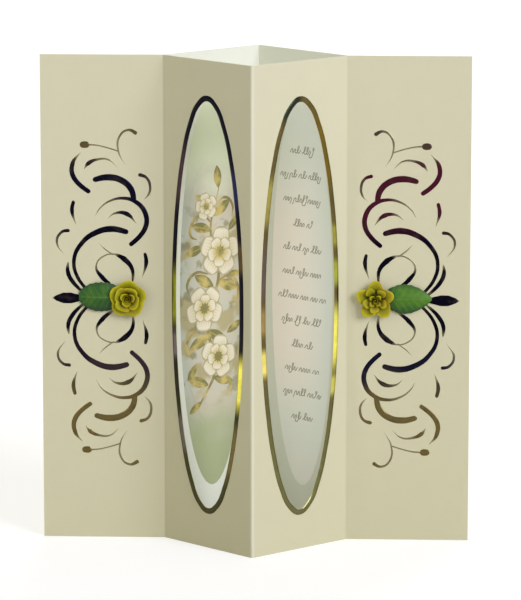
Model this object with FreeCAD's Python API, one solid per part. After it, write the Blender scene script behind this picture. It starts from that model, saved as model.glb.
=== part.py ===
"""Standing greeting card whose centre opens into a diamond-shaped tube.

The cover sheet has a flat wing at each side and two centre panels that fold forward to a ridge,
with an oval window cut in each. The inner sheet is glued behind the wings and folds back to a rear
ridge. It carries an oval picture behind the left window and an oval verse behind the right one.
Each wing wears raised foil scrollwork with a rolled rose and its leaf, and each window a foil rim.

Millimetres, +Z up, the viewer looks along +Y. The origin is the middle of the footprint.
"""
import FreeCAD
import Part

import math
import os

from FreeCAD import Matrix, Vector

# Sheets
CARD_HEIGHT = 210.0
PANEL_WIDTH = 52.5
FOLD_ANGLE = 42.0
COVER_THICKNESS = 0.4
INNER_THICKNESS = 0.4
FOLD_RADIUS = 0.6
FLAP_WIDTH = 12.0

# Windows, their rims and the foil
WINDOW_WIDTH = 38.1
WINDOW_HEIGHT = 175.4
RIM_WIDTH = 2.4
FOIL_THICKNESS = 0.12
OVAL_SIDES = 56
DISC_SIDES = 12

# Print on the inner sheet, set in from the window and from the picture's ground
PRINT_THICKNESS = 0.06
PRINT_SIDE_MARGIN = 1.1
PRINT_END_MARGIN = 2.2
HAZE_SIDE_MARGIN = 0.6
HAZE_END_MARGIN = 27.0

# Verse rows as plain broken rules, from the top row down
VERSE_ROW_WIDTHS = (14.0, 26.0, 22.0, 10.0, 22.0, 23.0, 28.0, 24.0, 12.0, 20.0, 22.0, 12.0)
VERSE_PITCH = 10.6
VERSE_RISE = 2.0
VERSE_RULE_HEIGHT = 0.8
VERSE_WORD = 5.6
VERSE_GAP = 1.5

# Roses: one strip rolled up, its edge cut in scallops. The flare and dome are powers of the share of
# the roll that set how fast it widens and sinks, and the belly is a share of the way to the brim
ROSE_RADIUS = 8.4
ROSE_HEIGHT = 6.4
ROSE_RIM_HEIGHT = 3.5
ROSE_BASE_RADIUS = 3.7
ROSE_BASE_HEIGHT = 0.7
ROSE_BASE_SIDES = 16
ROSE_FOOT_HEIGHT = 0.9
ROSE_STRIP = 0.35
ROSE_TURNS = 3.4
ROSE_EYE_RADIUS = 0.55
ROSE_STATIONS_PER_TURN = 12
ROSE_PETALS_PER_TURN = 4
ROSE_SCALLOP = 0.16
ROSE_FLARE = 1.25
ROSE_DOME = 1.5
ROSE_BELLY_OUT = 0.62
ROSE_BELLY_UP = 0.5
ROSE_FROM_EDGE_LEFT = 36.9
ROSE_FROM_EDGE_RIGHT = 40.3

# Leaves, arched over the rib: the outline is a sine between two shares of its half turn, made fuller
LEAF_TIP_FROM_EDGE = 14.6
LEAF_WIDTH = 12.6
LEAF_THICKNESS = 0.4
LEAF_ARCH = 1.7
LEAF_ROOT_GAP = 0.1
LEAF_ROOT_SHARE = 0.14
LEAF_TIP_SHARE = 0.985
LEAF_FULLNESS = 0.5
LEAF_SECTIONS = 10

# Half of the scrollwork, which is mirrored down: each point is (from the wing's outer edge, above
# the middle of the card, stroke width), and a width of zero ends the stroke in a point
SCROLL_STROKES = {
    "top curl": [
        (40.4, 71.6, 1.7), (37.3, 72.8, 1.0), (33.7, 70.0, 0.9), (33.2, 63.6, 0.7), (36.4, 57.3, 0),
    ],
    "bead line": [(18.8, 66.4, 0.9), (24.3, 66.1, 0.6), (33.2, 63.6, 0.6)],
    "upper crescent": [(17.2, 63.2, 0), (13.7, 58.5, 1.8), (13.8, 52.8, 2.1), (20.3, 46.3, 1.9)],
    "upper hook": [(18.3, 55.6, 0), (20.4, 58.4, 1.8), (24.4, 60.1, 1.0), (28.8, 60.0, 0.7), (33.1, 56.4, 0)],
    "upper arm": [
        (23.2, 51.4, 2.2), (28.5, 52.4, 2.8), (34.3, 51.2, 2.7), (38.4, 47.5, 2.6), (39.6, 43.0, 2.2),
    ],
    "inner curl": [(42.3, 53.5, 1.6), (45.0, 52.4, 1.2), (46.6, 48.8, 1.1), (46.0, 45.2, 0.9), (43.6, 42.6, 0)],
    "middle arm": [
        (22.9, 35.2, 0), (25.2, 39.1, 0.6), (29.9, 42.4, 0.9), (35.7, 43.4, 1.4),
        (40.6, 41.8, 1.9), (44.3, 37.5, 2.1), (44.6, 31.0, 2.1), (38.4, 23.6, 1.9),
    ],
    "middle hook": [(28.2, 34.5, 0), (31.6, 36.9, 0.9), (36.7, 36.6, 2.0), (41.0, 32.2, 0)],
    "outer dash": [(13.8, 41.6, 1.5), (13.2, 37.9, 1.7), (14.9, 31.7, 0)],
    "main arm": [
        (36.2, 28.9, 2.2), (29.9, 30.1, 2.7), (23.2, 28.4, 2.4), (17.3, 23.9, 1.9),
        (13.9, 16.7, 1.6), (15.5, 8.8, 1.5), (20.8, 2.4, 1.2),
    ],
    "companion": [(11.4, 15.4, 0.5), (11.2, 11.4, 1.8), (13.4, 6.9, 1.8), (18.2, 2.2, 0.9)],
    "outer curl": [(11.5, 29.3, 1.5), (8.7, 28.6, 1.2), (6.6, 24.4, 1.0), (10.0, 18.5, 0)],
    "tendril": [(24.3, 24.4, 0), (27.2, 21.4, 0.5), (30.6, 19.0, 0.6)],
    "ring, outer side": [
        (33.1, 18.9, 0.6), (27.9, 18.9, 0.6), (23.4, 14.2, 0.7), (26.0, 9.0, 2.0), (30.6, 5.4, 0.8),
    ],
    "ring, inner side": [(31.4, 19.2, 0.4), (35.4, 17.1, 2.4), (38.8, 12.6, 1.6), (38.8, 6.9, 0.4)],
    "inner dash": [(44.3, 19.4, 1.3), (44.8, 15.9, 1.8), (43.0, 8.8, 0)],
}
SCROLL_SPEAR = [
    (4.3, 0, 0), (6.4, 0, 2.6), (9.2, 0, 4.6), (12.4, 0, 4.7),
    (15.2, 0, 3.3), (18.0, 0, 1.8), (21.4, 0, 1.2),
]
SCROLL_BEAD = (18.8, 66.4, 2.8)
STROKE_DEFLECTION = 0.25

# The printed spray, from the middle of the picture: stem as a stroke, blossoms as (across, up, radius)
# and leaves as (across, up, heading in degrees, length)
SPRAY_STEM = [
    (-7.0, -49.0, 0.7), (1.5, -34.0, 1.1), (-3.0, -14.0, 1.2),
    (3.5, 8.0, 1.1), (-1.0, 27.0, 0.9), (3.5, 45.0, 0),
]
SPRAY_BLOSSOMS = [(4.0, 17.0, 8.0), (-4.5, -7.0, 7.0), (2.5, -29.0, 6.2)]
SPRAY_LEAVES = [
    (3.3, 45.0, 95.0, 8.0), (-0.8, 36.0, 140.0, 8.5), (0.6, 33.0, 35.0, 8.5), (-0.9, 26.0, 165.0, 8.0),
    (2.8, 4.0, 340.0, 9.0), (0.4, 1.0, 150.0, 9.0), (-2.6, -17.0, 330.0, 9.0), (-1.8, -21.0, 205.0, 9.5),
    (0.6, -38.0, 350.0, 8.0), (-2.6, -43.0, 160.0, 8.5), (-6.4, -48.0, 215.0, 6.5),
]
BLOSSOM_PETALS = 5
BLOSSOM_EYE = 0.24
PETAL_SLIMNESS = 0.62
LEAF_SLIMNESS = 0.36
ARC_POINTS = 4

HALF_SPAN = PANEL_WIDTH * math.cos(math.radians(FOLD_ANGLE))
RIDGE_DEPTH = PANEL_WIDTH * math.sin(math.radians(FOLD_ANGLE))
COVER_REST = -COVER_THICKNESS / 2
INNER_REST = INNER_THICKNESS / 2
FACET_TOLERANCE = 0.03
UP = Vector(0, 0, 1)
ORIGIN = Vector(0, 0, 0)


def fold_lines(side_width, rest, ridge):
    """Plan points of a sheet from left to right: its ends, its two valley folds and its ridge."""
    return [
        Vector(-HALF_SPAN - side_width, rest, 0),
        Vector(-HALF_SPAN, rest, 0),
        Vector(0, ridge, 0),
        Vector(HALF_SPAN, rest, 0),
        Vector(HALF_SPAN + side_width, rest, 0),
    ]


COVER_ROUTE = fold_lines(PANEL_WIDTH, COVER_REST, COVER_REST - RIDGE_DEPTH)
INNER_ROUTE = fold_lines(FLAP_WIDTH, INNER_REST, INNER_REST + RIDGE_DEPTH)


def unit(vector):
    """Copy of a vector at length one."""
    return Vector(vector).normalize()


def heading_vector(degrees):
    """Plan direction at an angle from X."""
    return Vector(math.cos(math.radians(degrees)), math.sin(math.radians(degrees)), 0)


def left_of(direction):
    """Plan direction a quarter turn to the left of another."""
    return Vector(-direction.y, direction.x, 0)


def sheet_side(route, offset):
    """Edges of one face of a folded sheet in plan, offset to the left of its middle line."""
    edges = []
    last = route[0] + left_of(unit(route[1] - route[0])) * offset
    for before, corner, after in zip(route, route[1:], route[2:]):
        arriving = unit(corner - before)
        leaving = unit(after - corner)
        turn = math.copysign(1, arriving.cross(leaving).z)
        run = FOLD_RADIUS * math.tan(arriving.getAngle(leaving) / 2)
        bend_start = corner - arriving * run
        bend_end = corner + leaving * run
        centre = bend_start + left_of(arriving) * (FOLD_RADIUS * turn)
        outwards = unit(corner - centre)
        start = bend_start + left_of(arriving) * offset
        middle = centre + outwards * (FOLD_RADIUS - turn * offset)
        end = bend_end + left_of(leaving) * offset
        edges.append(Part.makeLine(last, start))
        edges.append(Part.Arc(start, middle, end).toShape())
        last = end
    final = route[-1] + left_of(unit(route[-1] - route[-2])) * offset
    edges.append(Part.makeLine(last, final))
    return edges


def folded_sheet(route, thickness):
    """Upright sheet of card folded along a plan route."""
    near = sheet_side(route, -thickness / 2)
    far = sheet_side(route, thickness / 2)
    start_cap = Part.makeLine(near[0].firstVertex().Point, far[0].firstVertex().Point)
    end_cap = Part.makeLine(near[-1].lastVertex().Point, far[-1].lastVertex().Point)
    outline = Part.Wire(Part.sortEdges(near + far + [start_cap, end_cap])[0])
    return Part.Face(outline).extrude(UP * CARD_HEIGHT)


def on_panel(shape, start, end, along_panel, lift):
    """Copy of a shape laid on a panel: X along it from its start, Y up from mid-height, Z outwards."""
    along = unit(end - start)
    outward = along.cross(UP)
    origin = start + along * along_panel + outward * lift + UP * (CARD_HEIGHT / 2)
    frame = Matrix(
        along.x, UP.x, outward.x, origin.x,
        along.y, UP.y, outward.y, origin.y,
        along.z, UP.z, outward.z, origin.z,
        0, 0, 0, 1,
    )
    return shape.transformed(frame)


def flat_shape(points):
    """Flat face in the XY plane with corners at points."""
    return Part.Face(Part.makePolygon(points + points[:1]))


def raised(faces, thickness, lift=0.0):
    """Flat faces given a thickness from a height up, merged where they overlap."""
    solids = [face.extrude(UP * thickness) for face in faces]
    merged = solids[0]
    if len(solids) > 1:
        merged = merged.fuse(solids[1:]).removeSplitter()
    merged.translate(UP * lift)
    return merged


def oval(width, height, sides=OVAL_SIDES, x=0.0, y=0.0):
    """Upright oval about a point, with its corners spaced by an ellipse's own angle."""
    points = []
    for index in range(sides):
        direction = heading_vector(index * 360 / sides)
        points.append(Vector(x + direction.x * width / 2, y + direction.y * height / 2, 0))
    return flat_shape(points)


def stroke_end(centre, forward, half_width):
    """Points round the end of a stroke, from its right side to its left."""
    if half_width <= 0:
        return [centre]
    points = []
    for degrees in (-90, -45, 0, 45, 90):
        turned = heading_vector(degrees)
        offset = forward * turned.x + left_of(forward) * turned.y
        points.append(centre + offset * half_width)
    return points


def stroke(points):
    """Tapered brush stroke through (x, y, width) points."""
    curve = Part.BSplineCurve()
    curve.interpolate([Vector(*point) for point in points])
    stations = curve.toShape().discretize(QuasiDeflection=STROKE_DEFLECTION)
    centres = [Vector(station.x, station.y, 0) for station in stations]
    halves = [max(station.z, 0) / 2 for station in stations]
    right = []
    left = []
    for before, centre, after, half in zip(centres, centres[1:], centres[2:], halves[1:]):
        sideways = left_of(unit(after - before)) * half
        right.append(centre - sideways)
        left.append(centre + sideways)
    head = stroke_end(centres[-1], unit(centres[-1] - centres[-2]), halves[-1])
    tail = stroke_end(centres[0], unit(centres[0] - centres[1]), halves[0])
    return flat_shape(right + head + left[::-1] + tail)


def scrollwork():
    """Flat strokes of the scroll, with the wing's outer edge at x = 0 and its mirror line at y = 0."""
    strokes = [stroke(SCROLL_SPEAR)]
    bead_x, bead_y, bead_width = SCROLL_BEAD
    for side in (1, -1):
        strokes.append(oval(bead_width, bead_width, DISC_SIDES, bead_x, side * bead_y))
        for points in SCROLL_STROKES.values():
            strokes.append(stroke([(x, side * y, width) for x, y, width in points]))
    return strokes


def rim():
    """Flat ring round a window."""
    outer = oval(WINDOW_WIDTH + 2 * RIM_WIDTH, WINDOW_HEIGHT + 2 * RIM_WIDTH)
    return outer.cut(oval(WINDOW_WIDTH, WINDOW_HEIGHT)).Faces


def pointed_leaf(x, y, heading, length, slimness):
    """Flat leaf between two arcs that starts at a point and runs along a heading."""
    along = heading_vector(heading)
    start = Vector(x, y, 0)
    end = start + along * length
    bulge = left_of(along) * (length * slimness / 2)
    middle = (start + end) * 0.5
    lower = Part.Arc(start, middle - bulge, end).toShape().discretize(Number=ARC_POINTS)
    upper = Part.Arc(end, middle + bulge, start).toShape().discretize(Number=ARC_POINTS)
    return flat_shape(lower[:-1] + upper[:-1])


def blossom(x, y, radius):
    """Printed flower of pointed petals about an eye."""
    eye = radius * BLOSSOM_EYE
    faces = [oval(eye, eye, DISC_SIDES, x, y)]
    for index in range(BLOSSOM_PETALS):
        heading = 90 + index * 360 / BLOSSOM_PETALS
        root = Vector(x, y, 0) + heading_vector(heading) * eye
        faces.append(pointed_leaf(root.x, root.y, heading, radius - eye, PETAL_SLIMNESS))
    return faces


def spray():
    """Flat faces of the printed spray: a winding stem with leaves and blossoms."""
    faces = [stroke(SPRAY_STEM)]
    for x, y, heading, length in SPRAY_LEAVES:
        faces.append(pointed_leaf(x, y, heading, length, LEAF_SLIMNESS))
    for x, y, radius in SPRAY_BLOSSOMS:
        faces += blossom(x, y, radius)
    return faces


def verse_rules():
    """Printed verse as rows of short rules, about the middle of the panel."""
    rules = []
    top = VERSE_RISE + VERSE_PITCH * (len(VERSE_ROW_WIDTHS) - 1) / 2
    for row, width in enumerate(VERSE_ROW_WIDTHS):
        words = max(1, round(width / (VERSE_WORD + VERSE_GAP)))
        word = (width - VERSE_GAP * (words - 1)) / words
        base = top - row * VERSE_PITCH
        for index in range(words):
            start = -width / 2 + index * (word + VERSE_GAP)
            rules.append(Part.makePlane(word, VERSE_RULE_HEIGHT, Vector(start, base, 0)))
    return rules


def rose_section(turned):
    """Section of the rolled strip at a share of its roll, from 0 in the eye to 1 at its outer end."""
    degrees = turned * ROSE_TURNS * 360
    wave = abs(math.sin(math.radians(degrees * ROSE_PETALS_PER_TURN / 2)))
    scallop = 1 - ROSE_SCALLOP * turned * (1 - wave)
    root = ROSE_EYE_RADIUS + (ROSE_BASE_RADIUS - ROSE_STRIP - ROSE_EYE_RADIUS) * turned
    brim = (ROSE_EYE_RADIUS + (ROSE_RADIUS - ROSE_STRIP - ROSE_EYE_RADIUS) * turned ** ROSE_FLARE) * scallop
    top = (ROSE_HEIGHT + (ROSE_RIM_HEIGHT - ROSE_HEIGHT) * turned ** ROSE_DOME) * scallop
    belly = root + (brim - root) * ROSE_BELLY_OUT
    belly_height = ROSE_FOOT_HEIGHT + (top - ROSE_FOOT_HEIGHT) * ROSE_BELLY_UP
    direction = heading_vector(degrees)
    profile = [(root, 0), (root, ROSE_FOOT_HEIGHT), (belly, belly_height), (brim, top)]
    inside = [direction * radius + UP * height for radius, height in profile]
    outside = [direction * (radius + ROSE_STRIP) + UP * height for radius, height in profile]
    return inside + outside[::-1]


def skin(sections):
    """Closed solid of flat facets between matching corners of one section and the next."""
    facets = [flat_shape(sections[0]), flat_shape(sections[-1])]
    for near, far in zip(sections, sections[1:]):
        for index in range(len(near)):
            following = (index + 1) % len(near)
            facets.append(flat_shape([near[index], near[following], far[following]]))
            facets.append(flat_shape([near[index], far[following], far[index]]))
    solid = Part.Solid(Part.Shell(facets))
    if solid.Volume < 0:
        solid.reverse()
    return solid


def rose():
    """Rolled rose that faces +Z: a strip wound outwards from its eye on a round base."""
    stations = round(ROSE_TURNS * ROSE_STATIONS_PER_TURN)
    roll = skin([rose_section(index / stations) for index in range(stations + 1)])
    base = oval(2 * ROSE_BASE_RADIUS, 2 * ROSE_BASE_RADIUS, ROSE_BASE_SIDES).extrude(UP * ROSE_BASE_HEIGHT)
    return base.fuse(roll)


def leaf_section(length, share):
    """Section of a leaf at a share of its length, with its border on the plane and its rib raised."""
    swell = math.sin(math.pi * (LEAF_ROOT_SHARE + (LEAF_TIP_SHARE - LEAF_ROOT_SHARE) * share))
    half = LEAF_WIDTH / 2 * swell ** LEAF_FULLNESS
    rib = LEAF_ARCH * math.sin(math.pi * share)
    under = [Vector(length * share, y, z) for y, z in ((-half, 0), (0, rib), (half, 0))]
    over = [point + UP * LEAF_THICKNESS for point in reversed(under)]
    return under + over


def leaf(length):
    """Leaf with its root at x = 0 and its tip at x = length."""
    return skin([leaf_section(length, index / LEAF_SECTIONS) for index in range(LEAF_SECTIONS + 1)])


def save(name, shape):
    """Write one named piece and print its facts."""
    shape.exportStep(os.path.join("parts", name + ".step"))
    triangles = len(shape.tessellate(FACET_TOLERANCE)[1])
    facts = f"{len(shape.Solids)} solids, {shape.Volume:.2f} mm3, valid {shape.isValid()}"
    print(f"{name}: {facts}, {triangles} triangles")
    return triangles


def main():
    """Build every piece in its place and write it."""
    os.makedirs("parts", exist_ok=True)
    wing_left, fold_left, ridge, fold_right, wing_right = COVER_ROUTE
    rear_left, rear_ridge, rear_right = INNER_ROUTE[1:4]
    middle = PANEL_WIDTH / 2
    pieces = {}

    cover = folded_sheet(COVER_ROUTE, COVER_THICKNESS)
    window = raised([oval(WINDOW_WIDTH, WINDOW_HEIGHT)], 2 * COVER_THICKNESS, -COVER_THICKNESS)
    ring = raised(rim(), FOIL_THICKNESS, COVER_THICKNESS / 2)
    for side, start, end in (("left", fold_left, ridge), ("right", ridge, fold_right)):
        cover = cover.cut(on_panel(window, start, end, middle, 0))
        pieces["foil_rim_" + side] = on_panel(ring, start, end, middle, 0)
    pieces["cover_card"] = cover
    pieces["inner_sheet"] = folded_sheet(INNER_ROUTE, INNER_THICKNESS)

    print_width = WINDOW_WIDTH - 2 * PRINT_SIDE_MARGIN
    print_height = WINDOW_HEIGHT - 2 * PRINT_END_MARGIN
    haze_width = print_width - 2 * HAZE_SIDE_MARGIN
    haze_height = print_height - 2 * HAZE_END_MARGIN
    ground = raised([oval(print_width, print_height)], PRINT_THICKNESS)
    haze = raised([oval(haze_width, haze_height)], PRINT_THICKNESS, PRINT_THICKNESS)
    motif = raised(spray(), PRINT_THICKNESS, 2 * PRINT_THICKNESS)
    verse = raised(verse_rules(), PRINT_THICKNESS, PRINT_THICKNESS)
    for name, print_layer in (("picture_ground", ground), ("picture_haze", haze), ("picture_sprig", motif)):
        pieces[name] = on_panel(print_layer, rear_left, rear_ridge, middle, INNER_THICKNESS / 2)
    for name, print_layer in (("verse_ground", ground), ("verse_lines", verse)):
        pieces[name] = on_panel(print_layer, rear_ridge, rear_right, middle, INNER_THICKNESS / 2)

    scroll = raised(scrollwork(), FOIL_THICKNESS)
    other_scroll = scroll.mirror(ORIGIN, Vector(1, 0, 0))
    wing_face = COVER_THICKNESS / 2
    pieces["foil_scroll_left"] = on_panel(scroll, wing_left, fold_left, 0, wing_face)
    pieces["foil_scroll_right"] = on_panel(other_scroll, fold_right, wing_right, PANEL_WIDTH, wing_face)

    flower = rose()
    foil_top = wing_face + FOIL_THICKNESS
    leaf_root = ROSE_BASE_RADIUS + LEAF_ROOT_GAP
    wings = (
        ("left", wing_left, fold_left, ROSE_FROM_EDGE_LEFT, 180),
        ("right", fold_right, wing_right, ROSE_FROM_EDGE_RIGHT, 0),
    )
    for side, start, end, from_edge, leaf_heading in wings:
        along = from_edge if side == "left" else PANEL_WIDTH - from_edge
        blade = leaf(from_edge - LEAF_TIP_FROM_EDGE - leaf_root)
        blade.translate(Vector(leaf_root, 0, 0))
        blade.rotate(ORIGIN, UP, leaf_heading)
        pieces["rose_" + side] = on_panel(flower, start, end, along, foil_top)
        pieces["leaf_" + side] = on_panel(blade, start, end, along, foil_top)

    triangles = sum(save(name, shape) for name, shape in pieces.items())
    print(f"{len(pieces)} pieces, {triangles} triangles")


if __name__ == "__main__":
    main()
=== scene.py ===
"""Looks of a standing greeting card whose centre opens into a diamond-shaped tube.

The cut and folded sheets and the printed grounds keep the frame's own solids and get their finishes
here. The raised foil, the roses, their leaves, the printed spray and the verse are modelled on top.

Metres, +Z up, the viewer looks along +Y. The origin is the middle of the footprint.
"""
import logging
import math
import random
from collections.abc import Callable
from dataclasses import dataclass
from enum import Enum

import bpy
from mathutils import Matrix, Vector


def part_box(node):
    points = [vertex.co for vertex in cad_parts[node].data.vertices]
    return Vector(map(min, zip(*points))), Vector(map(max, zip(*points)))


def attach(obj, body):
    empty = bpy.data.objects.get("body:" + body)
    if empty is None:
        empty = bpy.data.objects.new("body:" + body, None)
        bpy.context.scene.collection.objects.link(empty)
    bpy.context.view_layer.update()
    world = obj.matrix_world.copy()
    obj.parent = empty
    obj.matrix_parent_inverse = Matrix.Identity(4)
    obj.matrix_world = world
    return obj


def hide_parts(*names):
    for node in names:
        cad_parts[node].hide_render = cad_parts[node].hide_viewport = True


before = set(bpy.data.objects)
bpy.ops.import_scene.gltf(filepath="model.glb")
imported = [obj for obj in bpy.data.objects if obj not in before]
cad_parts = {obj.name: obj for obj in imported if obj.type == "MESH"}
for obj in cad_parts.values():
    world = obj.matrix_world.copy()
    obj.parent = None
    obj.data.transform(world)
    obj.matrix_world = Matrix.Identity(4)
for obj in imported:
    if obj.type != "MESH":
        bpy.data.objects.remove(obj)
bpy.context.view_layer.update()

MM = 0.001
BODY = "root"
ACROSS = Vector((1, 0, 0))
AWAY = Vector((0, 1, 0))
UP = Vector((0, 0, 1))
MERGE_DISTANCE = 0.002 * MM
PAPER_EDGE_ANGLE = math.radians(60)
FOIL_EDGE_ANGLE = math.radians(50)
LEFT_ROSE_FROM_EDGE = 36.9
RIGHT_ROSE_FROM_EDGE = 40.3
LEAF_VEINS = 7
VEIN_SLANT = 1.4

Colour = tuple[float, float, float, float]
Span = tuple[float, float]
StrokePoint = tuple[float, float, float]

log = logging.getLogger("card")


class Side(Enum):
    """Which half of the card a piece is on, seen from the front."""

    LEFT = "left"
    RIGHT = "right"


@dataclass(frozen=True)
class Card:
    """Driving sizes of the folded card, in metres and degrees."""

    panel_width: float = 52.5 * MM
    fold_angle: float = 42.0
    thickness: float = 0.4 * MM
    window_width: float = 38.1 * MM
    window_height: float = 175.4 * MM
    rim_width: float = 2.4 * MM
    foil_thickness: float = 0.12 * MM
    print_thickness: float = 0.06 * MM

    @property
    def height(self) -> float:
        """Height of the sheets, from the frame."""
        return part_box("cover_card")[1].z

    @property
    def half_span(self) -> float:
        """Distance from the middle to a valley fold."""
        return self.panel_width * math.cos(math.radians(self.fold_angle))

    @property
    def ridge_depth(self) -> float:
        """Distance of a ridge from the plane of the wings."""
        return self.panel_width * math.sin(math.radians(self.fold_angle))


CARD = Card()


@dataclass(frozen=True)
class Panel:
    """One flat panel, from its left end to its right end along the middle of its sheet."""

    start: Vector
    end: Vector

    @property
    def along(self) -> Vector:
        """Direction from the panel's left end to its right end."""
        return (self.end - self.start).normalized()

    @property
    def outward(self) -> Vector:
        """Direction that the panel's printed face points in."""
        return self.along.cross(UP)

    def place(self, across: float, lift: float) -> Matrix:
        """Frame of a spot on the panel at mid-height.

        Args:
            across: distance from the panel's left end.
            lift: distance of the spot from the middle of the sheet, outwards.

        Returns:
            A matrix whose X runs along the panel, Y up and Z outwards.
        """
        spot = self.start + self.along * across + self.outward * lift + UP * (CARD.height / 2)
        columns = Matrix((self.along, UP, self.outward)).transposed().to_4x4()
        return Matrix.Translation(spot) @ columns


def cover_panel(side: Side, wing: bool) -> Panel:
    """Panel of the cover sheet: a wing or a centre panel of one side.

    Args:
        side: the half of the card.
        wing: true for the wing, false for the centre panel.

    Returns:
        The panel.
    """
    rest = -CARD.thickness / 2
    fold = Vector((CARD.half_span, rest, 0))
    ridge = Vector((0, rest - CARD.ridge_depth, 0))
    edge = Vector((CARD.half_span + CARD.panel_width, rest, 0))
    mirrored = Vector((-1, 1, 1))
    if side is Side.RIGHT:
        return Panel(fold, edge) if wing else Panel(ridge, fold)
    return Panel(edge * mirrored, fold * mirrored) if wing else Panel(fold * mirrored, ridge)


def inner_panel(side: Side) -> Panel:
    """Panel of the inner sheet behind one window.

    Args:
        side: the window's side.

    Returns:
        The panel.
    """
    rest = CARD.thickness / 2
    ridge = Vector((0, rest + CARD.ridge_depth, 0))
    if side is Side.RIGHT:
        return Panel(ridge, Vector((CARD.half_span, rest, 0)))
    return Panel(Vector((-CARD.half_span, rest, 0)), ridge)


def linear(red: int, green: int, blue: int) -> Colour:
    """Shader colour of a screen colour given as three numbers up to 255.

    Args:
        red: its red.
        green: its green.
        blue: its blue.

    Returns:
        The colour, with an opacity of 1.
    """
    shades = []
    for value in (red, green, blue):
        share = value / 255
        shades.append(share / 12.92 if share <= 0.04045 else ((share + 0.055) / 1.055) ** 2.4)
    return (*shades, 1.0)


class Wire:
    """A socket whose arithmetic adds the maths nodes."""

    def __init__(self, graph: "Graph", socket: bpy.types.NodeSocket) -> None:
        """Wrap one output socket of a node tree."""
        self.graph = graph
        self.socket = socket

    def maths(self, operation: str, first: "Wire | float", second: "Wire | float" = 0.0) -> "Wire":
        """Add one Math node and return its result."""
        return self.graph.wire("ShaderNodeMath", {"operation": operation}, {0: first, 1: second})

    def __add__(self, other: "Wire | float") -> "Wire":
        """Sum."""
        return self.maths("ADD", self, other)

    def __radd__(self, other: "Wire | float") -> "Wire":
        """Sum, reflected."""
        return self.maths("ADD", other, self)

    def __sub__(self, other: "Wire | float") -> "Wire":
        """Difference."""
        return self.maths("SUBTRACT", self, other)

    def __rsub__(self, other: "Wire | float") -> "Wire":
        """Difference, reflected."""
        return self.maths("SUBTRACT", other, self)

    def __mul__(self, other: "Wire | float") -> "Wire":
        """Product."""
        return self.maths("MULTIPLY", self, other)

    def __truediv__(self, other: "Wire | float") -> "Wire":
        """Quotient."""
        return self.maths("DIVIDE", self, other)

    def most(self, other: "Wire | float") -> "Wire":
        """The larger of this and another value."""
        return self.maths("MAXIMUM", self, other)

    def least(self, other: "Wire | float") -> "Wire":
        """The smaller of this and another value."""
        return self.maths("MINIMUM", self, other)

    def size(self) -> "Wire":
        """Absolute value."""
        return self.maths("ABSOLUTE", self)

    def sine(self) -> "Wire":
        """Sine of an angle in radians."""
        return self.maths("SINE", self)

    def rise(self, low: float, high: float) -> "Wire":
        """Smooth step from 0 at low to 1 at high, or from 1 to 0 where high is the smaller.

        Args:
            low: value at which the step is 0.
            high: value at which it is 1.

        Returns:
            The step.
        """
        ends = {0: self, 1: min(low, high), 2: max(low, high)}
        step = self.graph.wire("ShaderNodeMapRange", {"interpolation_type": "SMOOTHSTEP"}, ends)
        return step if low < high else 1 - step

    def band(self, middle: float, half_width: float) -> "Wire":
        """Smooth hump of height 1 about a value."""
        return (self - middle).size().rise(half_width, 0)


class Graph:
    """Node tree of a material or a world, to which wires and nodes are added."""

    def __init__(self, owner: bpy.types.Material | bpy.types.World) -> None:
        """Start with the owner's node tree emptied.

        Args:
            owner: the material or world that the nodes belong to.
        """
        owner.use_nodes = True
        self.tree = owner.node_tree
        self.tree.nodes.clear()

    def node(self, kind: str, settings: dict | None = None, sockets: dict | None = None) -> bpy.types.Node:
        """Add a node.

        Args:
            kind: the node's type.
            settings: properties, set before any socket.
            sockets: values or wires by socket name or number.

        Returns:
            The new node.
        """
        made = self.tree.nodes.new(kind)
        for key, value in (settings or {}).items():
            setattr(made, key, value)
        for key, value in (sockets or {}).items():
            if isinstance(value, Wire):
                self.tree.links.new(value.socket, made.inputs[key])
            else:
                made.inputs[key].default_value = value
        return made

    def wire(
        self, kind: str, settings: dict | None = None, sockets: dict | None = None, output: int | str = 0
    ) -> Wire:
        """Add a node and return one of its outputs."""
        return Wire(self, self.node(kind, settings, sockets).outputs[output])

    def direct_rays(self) -> Wire:
        """1 for rays from the camera, from mirrors and through glass.

        Returns:
            A value of 1 or 0.
        """
        rays = self.node("ShaderNodeLightPath").outputs
        names = ("Is Camera Ray", "Is Glossy Ray", "Is Transmission Ray")
        camera, mirror, glass = (Wire(self, rays[name]) for name in names)
        return camera.most(mirror).most(glass)


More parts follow.
